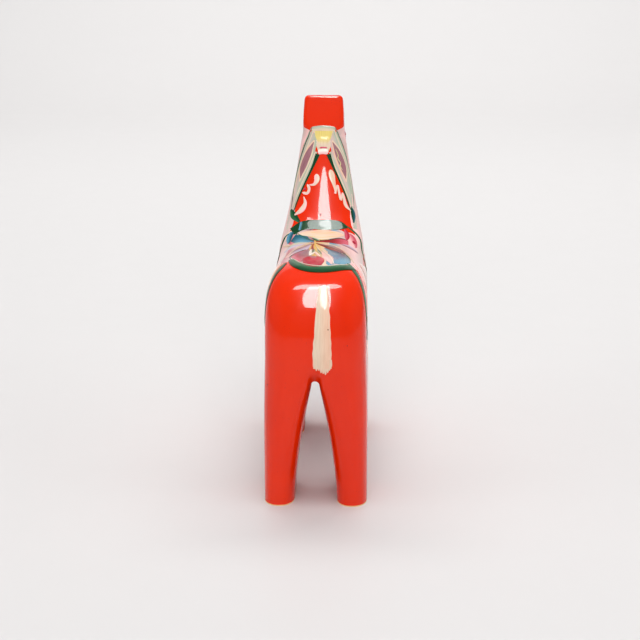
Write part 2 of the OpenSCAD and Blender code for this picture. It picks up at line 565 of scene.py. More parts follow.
# How wide a stroke is along its way, as a share of its full width.
FORMS = {
    "leaf": lambda t: math.sin(math.pi * t) ** 0.75,
    "round": lambda t: math.sqrt(max(0, 1 - (2 * t - 1) ** 2)),
    "line": lambda t: min(1, 6 * t + 0.25, 6 * (1 - t) + 0.15),
    "band": lambda t: min(1, math.sqrt(30 * t + 0.02), math.sqrt(30 * (1 - t) + 0.02)),
    "comma": lambda t: (math.sqrt(max(0, 1 - (1 - t / 0.28) ** 2)) if t < 0.28
                        else ((1 - t) / 0.72) ** 0.85),
    "petal": lambda t: (math.sqrt(max(0, 1 - ((t - 0.7) / 0.3) ** 2)) if t > 0.7
                        else (t / 0.7) ** 0.8),
}
strokes_made = []  # one name for each stroke pulled so far: their count seeds the next


def way(points, width, form):
    """The brush's way in even steps: its places, half its widths, and how far it has come."""
    shaped = isinstance(width, (int, float))
    widths = [1] * len(points) if shaped else width
    line = smooth_rows([(*point, share) for point, share in zip(points, widths)])
    along = np.r_[0, np.cumsum(np.linalg.norm(np.diff(line[:, :3], axis=0), axis=1))]
    steps = int(min(MOST_STEPS, max(8, math.ceil(along[-1] / sizes().brush_step))))
    at = np.linspace(0, along[-1], steps + 1)
    line = np.column_stack([np.interp(at, along, column) for column in line.T])
    if shaped:
        line[:, 3] = [width * FORMS[form](t) for t in np.linspace(0, 1, steps + 1)]
    return line[:, :3], np.maximum(line[:, 3] / 2, THINNEST) * MM, at


def unsteady_edges(number, steps):
    """How much wider or narrower each edge of a stroke is than its width, at every step."""
    unsteady = np.random.default_rng(number)
    turns = max(4, steps // 4)
    return {
        hand: 1 + UNSTEADY * np.interp(
            np.linspace(0, 1, steps + 1), np.linspace(0, 1, turns),
            unsteady.normal(size=turns))
        for hand in (LEFT, RIGHT)
    }


def laid_on_wood(line, half, half_steps, edges, coat):
    """Walks over the wood from the middle of a stroke to its edges, lifted by its coats."""
    size = sizes()
    surface = body_wood["surface"]
    last = len(line) - 1
    laid = np.empty((last + 1, 2 * half_steps + 1, 3))
    for i in range(last + 1):
        ahead = Vector(line[min(i + 1, last)] - line[max(i - 1, 0)]).normalized()
        middle, outward = surface.find_nearest(Vector(line[i]))[:2]
        body = min(size.paint_body, half[i] * 0.12) * (1 if coat > 0 else 0.2)
        for hand in (LEFT, RIGHT):
            place, normal = middle, outward
            across = normal.cross(ahead).normalized() * hand
            stride = half[i] * edges[hand][i] / half_steps
            for k in range(half_steps + 1):
                rounded = math.sqrt(max(0, 1 - (k / half_steps) ** 2))
                lift = size.paint_film * (0.6 + coat) + body * rounded
                laid[i, half_steps + hand * k] = place + normal * lift
                place, normal = surface.find_nearest(place + across * stride)[:2]
                across = (across - normal * across.dot(normal)).normalized()
    return laid


def eased(share):
    """A share from 0 to 1 that starts and ends softly, as a column."""
    share = np.clip(share, 0, 1)[:, None]
    return share * share * (3 - 2 * share)


def stroke(points, width, left, right=None, tip=None, form="leaf", coat=1):
    """One pull of a flat brush over the horse, through the given places.

    width is in mm: one number shaped by a form, or one for each place. The brush is
    loaded with one colour at its left and another at its right, and may end in a third.
    """
    right = left if right is None else right
    line, half, at = way(points, width, form)
    steps = len(line) - 1
    half_steps = int(min(MOST_HALF_STEPS, max(2, math.ceil(half.max() / sizes().brush_step))))
    number = len(strokes_made)
    laid = laid_on_wood(line, half, half_steps, unsteady_edges(number, steps), coat)

    bpy.ops.mesh.primitive_grid_add(
        x_subdivisions=steps, y_subdivisions=2 * half_steps, size=1)
    obj = bpy.context.active_object
    flat = places(obj)
    rows = np.round((flat[:, 0] + 0.5) * steps).astype(int)
    columns = np.round((flat[:, 1] + 0.5) * 2 * half_steps).astype(int)
    put(obj, laid[rows, columns])

    turn = columns / half_steps - 1
    blend = eased(0.5 - 0.7 * turn)
    tint = np.array(left)[None] * (1 - blend) + np.array(right)[None] * blend
    if tip is not None:
        late = eased((rows / steps - 0.45) / 0.5)
        tint = tint * (1 - late) + np.array(tip)[None] * late
    colour_layer = obj.data.color_attributes.new("tint", "FLOAT_COLOR", "POINT")
    rgba = np.column_stack([tint, np.ones(len(tint))]).astype(np.float32)
    colour_layer.data.foreach_set("color", rgba.ravel())
    brush_layer = obj.data.attributes.new("brush", "FLOAT_VECTOR", "POINT")
    brush = np.column_stack([at[rows], turn * half[rows], np.full(len(rows), number * 0.37)])
    brush_layer.data.foreach_set("vector", brush.astype(np.float32).ravel())
    strokes_made.append(obj.name)
    return obj


def paint(name, slot, *made):
    """Joins strokes into one named piece with a body of its own, sunk into the lacquer."""
    obj = pick(*made)
    if len(made) > 1:
        bpy.ops.object.join()
    obj.name = obj.data.name = name
    modify(obj, "SOLIDIFY", "paint_body", thickness=sizes().paint_root, offset=-1)
    pick(obj)
    bpy.ops.object.shade_smooth_by_angle(angle=PAINT_CREASE)
    finish = bpy.data.materials.get(slot) or brushed_paint(slot)
    rides(obj, finish)
    return obj


def brushed_paint(slot):
    """Gloss paint laid on by brush: hair streaks, thin places and a clear coat over it."""
    streak, thin = PAINT_HANDS[slot]
    mix = Finish(slot)
    tint = mix.node("Attribute", {"attribute_name": "tint"})
    brush = mix.node("Attribute", {"attribute_name": "brush"}, output=1)
    hair = mix.noise(mix.stretched(brush, (90, 2600, 1)), 1, detail=3, roughness=0.6)
    cloud = mix.noise(mix.stretched(brush, (160, 420, 1)), 1, detail=2)
    dry = (hair + cloud * 0.6 - thin).over(0.0, 0.16)
    light = mix.mixed((hair - 0.5) * streak + 0.5, (0.25, 0.25, 0.25), (0.75, 0.75, 0.75))
    body = mix.mixed(0.85, tint, light, "SOFT_LIGHT")
    body = mix.mixed(dry * 0.55, body, tuple(colours().lacquer))
    mix.set(Base_Color=body, Roughness=0.24 + hair * 0.14, Coat_Weight=0.35 - dry * 0.2,
            Coat_Roughness=0.05, IOR=1.2)
    mix.relief(hair + cloud * 0.4, 0.00012, 0.45)
    return mix.material


# How strong the hair streaks are, and above what the paint is thin enough to show red.
PAINT_HANDS = {
    "cream_paint": (1.5, 1.12),
    "green_paint": (2.0, 1.1),
    "blue_paint": (1.9, 1.08),
    "rose_paint": (1.8, 1.08),
    "black_paint": (1.0, 1.2),
}


def dot(place, width, *tints, coat=3):
    """A round dab at a place."""
    outward = body_wood["surface"].find_nearest(place)[1]
    along = outward.orthogonal().normalized() * (width / 2 * MM)
    return stroke([place - along, place, place + along], width, *tints, form="round", coat=coat)


class DALA_OT_tail(bpy.types.Operator):
    """Pulls the cream tail down the rump, with its bristle ends"""

    bl_idname = "dala.tail"
    bl_label = "Tail"

    def execute(self, context):
        tints = colours()
        tail = rears((5.2, 147.2), (5.2, 142), (5, 125), (5, 110), (5.1, 97))
        ends = [(-0.2, 96.8), (1.3, 95.4), (2.8, 95.6), (4.2, 94), (5.6, 93.4), (7, 92.8),
                (8.4, 94.2), (9.6, 95.8), (10.5, 97.4)]
        bristles = [
            stroke(rears((x * 0.97 + 0.1, 103), (x, end + 2), (x, end)), (1.7, 1.5, 0.3),
                   tints.cream, tints.peach)
            for x, end in ends
        ]
        paint("tail_stroke", "cream_paint",
              stroke(tail, (5.6, 7, 9.8, 11.6, 11.8), tints.peach, tints.cream),
              *bristles)
        return {"FINISHED"}


class DALA_OT_mane(bpy.types.Operator):
    """Paints the forelock cap and the nested bands and leaves down both sides of the mane"""

    bl_idname = "dala.mane"
    bl_label = "Mane"

    def execute(self, context):
        c = colours()
        self.forelock(c)
        self.bands(c)
        self.locks(c, LEFT, "left")
        self.locks(c, RIGHT, "right")
        return {"FINISHED"}

    def forelock(self, c):
        paint("forelock_cap", "cream_paint",
              stroke(rears((-8.5, 226.6), (0, 227.6), (8.5, 226.6)), 3.4, c.sage, c.cream,
                     form="band", coat=1),
              stroke(rears((0.2, 226.5), (0.2, 220), (0.2, 212)), (15, 13.5, 8), c.cream,
                     coat=0),
              stroke(rears((0.2, 225.5), (0.2, 221), (0.2, 215)), (12.5, 11, 5), c.yellow,
                     c.yellow, c.cream, form="band", coat=1),
              stroke(rears((-3.8, 210.8), (0, 211.2), (3.8, 211)), 3.6, c.white, c.pink,
                     form="band", coat=2))
        paint("forelock_dash", "rose_paint",
              stroke(rears((-2.6, 213.8), (0, 214.1), (3, 213.8)), 1.1, c.rose, form="line",
                     coat=3))

    def bands(self, c):
        """Washes, green lines, cream bands and leaves, seen from behind; the pale washes are partly
        paint, partly painted sheen along the neck's edges.
        """
        greens, creams, leaves, washes_and_sheen = [], [], [], []
        for hand in (LEFT, RIGHT):
            down = functools.partial(rears_at, hand)
            # Painted reflection in part: these pale pink and mist washes out to the neck's edges and
            # down its sides are partly pale paint and partly the grazing sheen painted in
            washes_and_sheen += [
                stroke(down((6.8, 224), (11.2, 210), (15.4, 197), (18.4, 185), (21.4, 172)),
                       (8, 10.5, 10, 7.5, 2), c.sage, c.mist, coat=0),
                stroke(down((12.6, 227), (16.4, 214), (19.6, 200), (21.8, 186), (23.6, 172)),
                       (8, 7.5, 6, 6, 4), c.pink, c.mist, coat=0),
                stroke([rear(hand * 22.4, 173), rear(hand * 24, 164), top(hand * 24.4, 133)],
                       (4, 7, 6), c.mist, c.sage, coat=0),
                stroke(sides(hand, (158, 186), (150, 174), (140, 162), (130, 153)),
                       (5, 11, 15, 12), c.mist, c.pink, coat=0),
            ]
            greens += [
                stroke(down((3.9, 209.5), (7, 201.5), (12, 191), (16.5, 181), (20.8, 170)),
                       (3.2, 1.9, 1.3, 1.2, 0.8), c.green, coat=2),
                stroke(down((8.4, 228), (12.4, 218), (17.2, 203), (20.4, 188), (22.5, 172)),
                       1.4, c.green, c.sage, form="line", coat=2),
            ]
            creams += [
                stroke(down((5, 211), (8.6, 202), (13.6, 191), (18, 181), (21.5, 172)),
                       (1.6, 2.2, 2.2, 2.2, 1), c.sage, c.cream, coat=1),
                stroke(down((7.6, 226), (11.6, 215), (16.2, 203), (19.5, 190), (21.8, 178)),
                       (1.4, 2, 2.2, 2.2, 1), c.cream, c.sage, coat=1),
                stroke(down((6.4, 219), (11, 209), (14.8, 199), (16.8, 190)),
                       (1, 7, 7, 0.8), c.cream, c.peach, coat=1),
            ]
            leaves.append(
                stroke(down((6.8, 217.6), (11, 208.8), (14.6, 199.5), (16.4, 191.8)),
                       (0.6, 4.6, 4.8, 0.4), c.mauve, coat=2))
        greens.append(
            stroke(rears((8.4, 214), (10.6, 208.5), (10.3, 206.5), (12.4, 203), (12, 201),
                         (14, 198)), 0.8, c.yellow, c.sage, form="line", coat=3))
        # One piece of pale paint that also carries the painted sheen on the neck's edges and sides
        paint("mane_washes_and_sheen", "cream_paint", *washes_and_sheen)
        paint("mane_green_lines", "green_paint", *greens)
        paint("mane_cream_bands", "cream_paint", *creams)
        paint("mane_mauve_leaves", "rose_paint", *leaves)

    def locks(self, c, hand, name):
        """Comma locks and dark partings down one side of the neck."""
        locks = []
        for number, (y, z) in enumerate(
                ((172, 221), (171, 211), (169, 200), (166, 189), (162, 178), (157, 168))):
            tint = (c.pink, c.white, c.rose)[number % 3]
            reach = 17 + 2.2 * number
            locks.append(stroke(
                sides(hand, (y, z), (y + reach * 0.45, z - 5), (y + reach, z - 17)),
                4.6, tint, c.pink, form="comma", coat=1))
        paint(name + "_mane_locks", "rose_paint", *locks)
        paint(name + "_mane_partings", "green_paint", *[
            stroke(sides(hand, (y, z), (y + 9, z - 6), (y + 17, z - 17)), 1.3, c.leaf,
                   c.teal, form="comma", coat=2)
            for y, z in ((172, 215), (170, 204), (168, 193), (165, 182), (160, 171))])


class DALA_OT_neck(bpy.types.Operator):
    """Dabs the cream commas on the red of the neck"""

    bl_idname = "dala.neck"
    bl_label = "Neck Commas"

    def execute(self, context):
        c = colours()
        paint("neck_commas", "cream_paint",
              stroke(rears((-4.8, 196), (-4.2, 192.2), (-6.2, 189), (-10.3, 188.4)), 4.0,
                     c.cream, c.pink, form="comma", coat=2),
              stroke(rears((-11, 188.8), (-9.6, 186), (-11, 182.9), (-14.6, 183.2)), 1.9,
                     c.pink, c.cream, form="line", coat=2),
              stroke(rears((-13.4, 180.6), (-12.3, 176.5), (-14.8, 172), (-19.6, 168.4)),
                     (0.5, 2.4, 4, 1.4), c.pink, c.cream, coat=2),
              stroke(rears((5.2, 199), (6.6, 194), (8.4, 187.5), (9, 183.2)), 4.3,
                     c.peach, c.cream, form="comma", coat=2),
              stroke(rears((9, 183), (10.4, 188.4), (11.6, 184), (13.2, 178.6), (14.2, 183),
                           (16.6, 175), (20.4, 171)), (1.6, 1.2, 1.7, 1.5, 1.2, 2.6, 0.8),
                     c.pink, c.cream, coat=2))
        paint("neck_dots", "rose_paint", dot(rear(-12.9, 185.6), 2, c.crimson, c.rose, coat=1))
        paint("neck_green_leaves", "green_paint",
              stroke(rears((-22.6, 171), (-20.5, 168), (-16, 164.8)), (2, 5, 2), c.green,
                     c.leaf, coat=1),
              stroke(rears((20.4, 174), (22, 169), (22.4, 163.5)), (0.6, 4.4, 1), c.teal,
                     c.green, coat=1))
        return {"FINISHED"}


class DALA_OT_collar(bpy.types.Operator):
    """Paints the green collar over the withers and the cream leaf behind it"""

    bl_idname = "dala.collar"
    bl_label = "Collar"

    def execute(self, context):
        c = colours()
        paint("collar_band", "green_paint",
              stroke(tops((-21, 128), (-12.5, 129.6), (2, 129.4), (12, 129.8), (18, 130.2)),
                     (8, 8, 8.4, 7.6, 2), c.green, coat=2),
              stroke([top(16, 131), top(21.5, 129.8), side(RIGHT, 127.5, 153),
                      side(RIGHT, 122.5, 146), side(RIGHT, 119, 132), side(RIGHT, 122, 118)],
                     1.5, c.green, c.leaf, form="line", coat=3),
              stroke([top(-19.5, 127.2), side(LEFT, 127, 155), side(LEFT, 124.5, 149),
                      side(LEFT, 120, 134), side(LEFT, 122, 118)],
                     1.5, c.green, c.leaf, form="line", coat=3))
        paint("collar_teal", "blue_paint",
              stroke(tops((-14.4, 132.4), (-14.9, 129.6), (-15.6, 126.6)), 1.9, c.teal, c.sky,
                     form="band", coat=3),
              stroke([top(-21, 127.5), top(-22.6, 124), side(LEFT, 119, 152)], (3, 5, 2),
                     c.teal, c.sky, coat=3))
        lines = [
            stroke(tops((-9, 121.6 + lift), (0, 120.6 + lift), (11, 121.8 + lift)), 0.5,
                   c.gold, form="line", coat=4)
            for lift in (-1.6, 0.4, 2.6)
        ]
        paint("cream_leaf", "cream_paint",
              stroke(tops((-17.3, 123.7), (-8.6, 122.8), (0, 121.6), (9.4, 122.1), (16, 122.9)),
                     (0.7, 6.4, 10.6, 8, 0.8), c.peach, c.cream, c.peach, coat=3),
              *lines)
        return {"FINISHED"}


class DALA_OT_saddle(bpy.types.Operator):
    """Paints the saddle: its pale ground, the rosette, the fruit and the green border"""

    bl_idname = "dala.saddle"
    bl_label = "Saddle"

    def execute(self, context):
        c = colours()
        self.ground(c)
        self.rosette(c)
        self.fruit(c)
        self.border(c)
        return {"FINISHED"}

    def ground(self, c):
        """Pale brush strokes laid side by side along the back."""
        pale = []
        for x, end, tint, other in ((-20, 47, c.mist, c.rose), (-10, 38, c.mauve, c.mist),
                                    (1, 32, c.cream, c.gold), (11, 34, c.mist, c.sky),
                                    (21, 41, c.pink, c.mist)):
            pale.append(stroke(tops((x, 127), (x, 95), (x, 65), (x * 1.02, end)), 13,
                               tint, other, form="band", coat=0))
        for hand in (LEFT, RIGHT):
            pale.append(stroke(sides(hand, (132, 152), (110, 148), (80, 146), (45, 143)), 15,
                               c.mist, c.pink, form="band", coat=0))
        paint("saddle_ground", "cream_paint", *pale)

    def rosette(self, c):
        heart = (-5, 113)
        paint("rosette_blue_petals", "blue_paint",
              stroke(tops((-8, 110.6), (-13, 110.4), (-19, 109.6), (-25, 107)), (1, 6, 8, 4),
                     c.lilac, c.sage, coat=1),
              stroke(tops(heart, (-10, 115), (-15, 118.6), (-19.6, 122)), (0.8, 6.6, 12, 8),
                     c.sky, c.teal, c.teal, coat=2),
              stroke(tops((3, 98), (9, 83), (14, 66), (15.6, 50), (13.4, 38)),
                     (1, 6.5, 12, 13, 6), c.teal, c.sky, c.sky, coat=1.5))
        paint("rosette_red_petals", "rose_paint",
              stroke(tops((-3.6, 113.4), (6, 113.6), (13.6, 114), (19, 114.6)),
                     (0.8, 5, 9.6, 7), c.oxblood, c.oxblood, c.rose, coat=2),
              stroke(tops((14, 109.6), (20, 109), (26, 110)), 6, c.lilac, c.mauve, coat=1.5),
              stroke(tops((16.2, 128.4), (18, 123.6), (17.8, 117.6)), 3.6, c.crimson, c.rose,
                     coat=4),
              stroke(tops((18.6, 125.6), (21.2, 121.4), (23.8, 115)), 8.2, c.rose, c.pink,
                     form="round", coat=2),
              dot(top(22.8, 120.2), 3, c.crimson, coat=4),
              stroke([top(-20.8, 128.8), top(-23.4, 126.6), side(LEFT, 124, 153)],
                     (0.8, 4.4, 1.4), c.pink, c.cream, coat=2))
        paint("rosette_mauve_petals", "rose_paint",
              stroke(tops((-3, 110), (4, 103.6), (10.6, 94), (16.6, 81)), (0.8, 5, 7.6, 3),
                     c.mauve, c.oxblood, c.mauve, coat=2),
              stroke(tops((-7, 107), (-11, 98), (-17, 86), (-21, 69)), (0.8, 7, 10, 4),
                     c.lilac, c.mauve, c.pink, coat=1),
              stroke(tops((-9, 88), (-12, 75), (-12.6, 59), (-9.6, 42)), (2, 8, 10, 5),
                     c.mauve, c.rose, coat=2))
        paint("rosette_gold_lines", "cream_paint",
              stroke(tops((-4, 112), (5, 108.2), (13, 99), (19.4, 79), (23.6, 56)), 1.1,
                     c.gold, c.cream, form="line", coat=4),
              stroke([*tops((-7, 111.6), (-10.6, 108.6), (-17.6, 110.4), (-22.4, 114.6)),
                      side(LEFT, 121.5, 149)], 0.9, c.cream, c.gold, form="line", coat=4),
              stroke(tops((-4, 110.6), (-8.4, 108), (-13, 103), (-19, 90), (-22.6, 76)), 1,
                     c.cream, c.gold, form="line", coat=4))
        paint("petal_edges", "green_paint",
              stroke(tops((-5, 114), (-10, 117.4), (-15, 122.6), (-20, 126.4)), 0.6, c.leaf,
                     form="line", coat=4),
              stroke(tops((-4, 114.6), (5, 115.6), (13, 118.4), (18.6, 117.6)), 0.6, c.green,
                     form="line", coat=4),
              stroke(tops((0, 107), (8, 98), (14, 86), (20.4, 66), (21.6, 50)), 0.7, c.leaf,
                     form="line", coat=4),
              stroke(tops((-9.6, 91), (-15, 78), (-18.6, 62), (-17, 47)), 0.6, c.leaf,
                     c.mauve, form="line", coat=4))
        paint("rosette_calyx", "rose_paint",
              stroke(tops((-5.4, 109), (-6.2, 99), (-6.4, 86)), 2.2, c.oxblood, c.gold, coat=4),
              stroke(tops((-4.6, 109.6), (-4.6, 101), (-4, 92)), 1.8, c.gold, c.crimson,
                     coat=4),
              stroke(tops((-3.6, 108.6), (-1, 96), (2.6, 78)), 1.7, c.gold, c.cream, coat=4))
        paint("rosette_leaves", "green_paint",
              stroke(tops((-6.4, 118.4), (-3.4, 116.2), (-0.8, 113.8)), 2.6, c.sage, c.leaf,
                     coat=4),
              stroke(tops((-3.6, 93), (-3.8, 80), (-3.8, 66)), 2.2, c.sage, c.leaf, coat=4),
              stroke(tops((-1.8, 93), (0.2, 79), (2.2, 66)), 1.8, c.leaf, c.sage, coat=4))

    def fruit(self, c):
        paint("crown", "cream_paint",
              stroke(tops((-5.8, 92), (-5.7, 76), (-5.6, 59)), 2, c.white, coat=5),
              stroke(tops((-5.5, 60), (-4.2, 68), (-2.5, 79)), (1.6, 1.8, 1), c.white,
                     coat=5),
              stroke(tops((-2.5, 79), (-1.2, 68), (0.8, 58)), (1, 2, 1.6), c.white, c.pink,
                     coat=5))
        paint("fruit", "rose_paint",
              stroke(tops((-2.4, 56.4), (-2.4, 43), (-2.2, 30)), 14.2, c.crimson,
                     form="round", coat=4))
        paint("fruit_cap", "black_paint",
              stroke(tops((-3, 57), (-2.8, 53), (-2.6, 49.4)), 4.2, c.mauve,
                     form="round", coat=5))
        paint("pale_petal", "cream_paint",
              stroke(tops((1, 88), (4.4, 68), (7.2, 51), (9.8, 37)), (0.8, 4, 6.6, 1.4), c.mist,
                     c.pink, coat=3),
              stroke(tops((1.6, 90), (5.4, 70), (9, 50), (11.4, 36)), 0.9, c.white, c.cream,
                     form="line", coat=4))

    def border(self, c):
        paint("saddle_border", "green_paint",
              stroke(tops((-17.6, 48), (-14.6, 38), (-8.6, 31), (0, 28.8), (9, 29.6),
                          (17, 33.6), (24.6, 39)), (2.6, 5, 6.6, 7, 7, 6.4, 4.6), c.leaf,
                     c.green, coat=5))
        paint("saddle_border_edge", "cream_paint",
              stroke(tops((-16.4, 51), (-12.2, 40.6), (-7, 35.2), (0.6, 33), (9.4, 33.6),
                          (16.6, 37.4), (22.6, 42.6)), 0.8, c.cream, c.sage, form="line",
                     coat=6))


class DALA_OT_flanks(bpy.types.Operator):
    """Hangs the saddle's painted skirts on both flanks"""

    bl_idname = "dala.flanks"
    bl_label = "Flanks"

    def execute(self, context):
        c = colours()
        for hand, name in ((LEFT, "left"), (RIGHT, "right")):
            self.skirt(c, hand, name)
        return {"FINISHED"}

    def skirt(self, c, hand, name):
        fan = ((-62, c.pink, c.white), (-44, c.white, c.rose), (-26, c.mauve, c.pink),
               (-9, c.sky, c.teal), (9, c.cream, c.gold), (26, c.rose, c.crimson),
               (44, c.pink, c.white), (62, c.white, c.pink))
        slots = {"cream_paint": [], "rose_paint": [], "blue_paint": []}
        for degrees, tint, other in fan:
            angle = math.radians(degrees)
            far = 40 - 10 * math.cos(angle) + 12 * abs(math.sin(angle))
            places_on = sides(hand, *[
                (78 + far * share * math.sin(angle) * 1.05,
                 150 - far * share * math.cos(angle) - 3 * share) for share in (0.12, 0.5, 1)])
            slot = "cream_paint" if tint in (c.white, c.cream) else "rose_paint"
            slot = "blue_paint" if tint == c.sky else slot
            slots[slot].append(stroke(places_on, 10.5, tint, other, form="petal", coat=1))
        for slot, made in slots.items():
            paint(f"{name}_skirt_{slot.split('_')[0]}_petals", slot, *made)
        hem = [(27, 141), (23, 130), (27, 119), (36, 114)]
        start = [top(hand * 20.5, 43.5), top(hand * 24.6, 36)]
        hems = [stroke([*start, *sides(hand, *hem)], (2.6, 5, 5.6, 5.4, 5, 1.6), c.green,
                       c.leaf, coat=3)]
        for y in (36, 58, 80, 102):
            low = 103 if y in (58, 80) else 107
            hems.append(stroke(
                sides(hand, (y, low + 7.5), (y + 5, low + 1), (y + 11, low - 1.5),
                      (y + 17, low + 1), (y + 22, low + 7.5)), (1.6, 4, 5, 4, 1.6), c.leaf,
                c.green, coat=3))
        paint(name + "_skirt_hem", "green_paint", *hems)
        dabs = [dot(side(hand, y, z), 4.4, c.crimson, c.rose, coat=4)
                for y, z in ((36, 120), (58, 113), (80, 113), (102, 115))]
        paint(name + "_skirt_berries", "rose_paint", *dabs)
        drops = []
        for y in (47, 69, 91):
            drops.append(stroke(sides(hand, (y, 99.5), (y + 1, 95), (y + 4, 91)), 3.2, c.cream,
                                c.white, form="comma", coat=2))
            drops.append(stroke(sides(hand, (y - 5, 101), (y - 6, 97), (y - 10, 94)), 2.4,
                                c.cream, c.white, form="comma", coat=2))
        drops += [
            stroke([top(hand * 22, 48), side(hand, 42, 147), side(hand, 33, 137),
                    side(hand, 31, 127)], 1.6, c.cream, c.pink, form="line", coat=4),
            stroke([top(hand * 24, 55), side(hand, 50, 144), side(hand, 41, 131),
                    side(hand, 40, 122)], 2.4, c.white, c.pink, form="comma", coat=4),
        ]
        paint(name + "_skirt_commas", "cream_paint", *drops)


class DALA_OT_harness(bpy.types.Operator):
    """Paints the breast band from the skirts round the chest"""

    bl_idname = "dala.harness"
    bl_label = "Breast Band"

    def execute(self, context):
        c = colours()
        edges, dabs, commas = [], [], []

        def band_places(rise):
            flank = ((123, 131), (143, 124), (165, 120), (184, 121))
            left = sides(LEFT, *[(y, z + rise) for y, z in flank])
            right = sides(RIGHT, *[(y, z + rise) for y, z in flank])
            chest = [front(x, z + rise) for x, z in
                     ((-24, 124), (-12, 126), (0, 126.6), (12, 126), (24, 124))]
            return [*left, *chest, *reversed(right)]

        paint("breast_band", "green_paint",
              stroke(band_places(0), 5.6, c.green, c.leaf, form="band", coat=1))
        for rise in (3.6, -3.6):
            edges.append(stroke(band_places(rise), 1.2, c.cream, c.white, form="line", coat=2))
        for hand in (LEFT, RIGHT):
            dabs += [dot(side(hand, y, z), 3.2, c.rose, c.pink, coat=3)
                     for y, z in ((136, 126.2), (150, 122.2), (163, 120.2), (176, 120.4))]
            dabs += [dot(front(hand * x, z), 3.2, c.rose, c.pink, coat=3)
                     for x, z in ((21, 124.6), (8, 126.2))]
            commas += [
                stroke(sides(hand, (y, z), (y - 2, z - 7), (y - 8, z - 12)), 4, c.cream,
                       c.pink, form="comma", coat=1)
                for y, z in ((150, 114), (164, 112), (178, 112))]
            commas += [
                stroke([front(hand * 10, 118), front(hand * 8, 111), front(hand * 3, 106)], 4,
                       c.cream, c.pink, form="comma", coat=1)]
        paint("breast_band_edges", "cream_paint", *edges)
        paint("breast_band_dots", "rose_paint", *dabs)
        paint("breast_commas", "cream_paint", *commas)
        return {"FINISHED"}


class DALA_OT_bridle(bpy.types.Operator):
    """Paints the bridle, the reins, the eyes and the nostrils"""

    bl_idname = "dala.bridle"
    bl_label = "Bridle and Eyes"

    def execute(self, context):
        c = colours()
        straps, trims, dabs, whites, pupils = [], [], [], [], []
        for hand in (LEFT, RIGHT):
            straps += [
                stroke(sides(hand, (221, 195), (224, 186), (224, 172), (218, 158)), 3.2,
                       c.green, c.leaf, form="line", coat=1),
                stroke(sides(hand, (187, 224), (196, 210), (209, 196), (223, 183)), 2.6,
                       c.green, c.leaf, form="line", coat=1),
                stroke(sides(hand, (190, 222), (187, 208), (189, 190), (196, 172), (202, 160)),
                       2.6, c.leaf, c.green, form="line", coat=1),
            ]
            trims += [
                stroke(sides(hand, (217.5, 196), (220.5, 186), (220.5, 172), (214.5, 158)),
                       1.1, c.cream, c.white, form="line", coat=1),
                stroke(sides(hand, (221, 170), (204, 168), (182, 166), (160, 160), (140, 152)),
                       1.6, c.cream, c.white, form="line", coat=3),
                stroke(sides(hand, (210, 188), (205, 181), (204, 172)), 4, c.white, c.pink,
                       form="comma", coat=1),
                stroke(sides(hand, (200, 188), (196.5, 181), (197.5, 172)), 3.4, c.pink,
                       c.white, form="comma", coat=3),
            ]
            dabs += [dot(side(hand, y, z), 3.4, c.rose, c.crimson, coat=4)
                     for y, z in ((222.5, 171), (223, 183.5), (189, 220))]
            whites.append(stroke(sides(hand, (196, 201), (200, 203.4), (204.6, 202)), 3.8,
                                 c.white, coat=2))
            pupils += [dot(side(hand, 200.4, 202.6), 2.3, c.black, coat=4),
                       stroke(sides(hand, (234.6, 178.6), (233, 176.8), (233.4, 174.6)), 1.8,
                              c.black, form="comma", coat=1),
                       stroke(sides(hand, (238.4, 168.2), (234, 167.4), (229.4, 165.2)), 0.9,
                              c.black, c.oxblood, form="line", coat=1)]
        straps += [
            stroke([side(LEFT, 221, 195), front(-9, 197.5), front(0, 198.6), front(9, 197.5),
                    side(RIGHT, 221, 195)], 3.2, c.green, c.leaf, form="band", coat=2),
            stroke([side(LEFT, 187, 224), front(-9, 226), front(0, 227), front(9, 226),
                    side(RIGHT, 187, 224)], 2.6, c.leaf, c.green, form="band", coat=2),
        ]
        trims += [
            stroke([front(hand * 0.8, 222), front(hand * 4.4, 216), front(hand * 3.4, 209.6)],
                   3.8, c.white, c.pink, form="comma", coat=1)
            for hand in (LEFT, RIGHT)
        ]
        trims.append(stroke([front(0, 219), front(0, 211), front(0, 203)], 3.2, c.cream,
                            c.white, form="leaf", coat=2))
        dabs += [dot(front(0, 222.6), 4.6, c.rose, c.crimson, coat=4),
                 dot(front(0, 198.6), 3.6, c.rose, c.crimson, coat=4)]
        paint("bridle_straps", "green_paint", *straps)
        paint("bridle_trims", "cream_paint", *trims)
        paint("bridle_dots", "rose_paint", *dabs)
        paint("eye_whites", "cream_paint", *whites)
        paint("pupils_and_nostrils", "black_paint", *pupils)
        return {"FINISHED"}


class DALA_OT_wear(bpy.types.Operator):
    """Adds the small dark chips of an old painted horse"""

    bl_idname = "dala.wear"
    bl_label = "Chips"

    def execute(self, context):
        c = colours()
        paint("dark_chips", "black_paint", *[
            dot(place, width, c.black, c.oxblood, coat=5)
            for place, width in ((rear(-1.4, 169.6), 1.1), (rear(8.6, 122.5), 0.8),
                                 (top(-16.4, 123.8), 0.9), (rear(-30.4, 83), 0.7),
                                 (rear(20.6, 112), 0.6))])
        return {"FINISHED"}


# ---------------------------------------------------------------- the studio


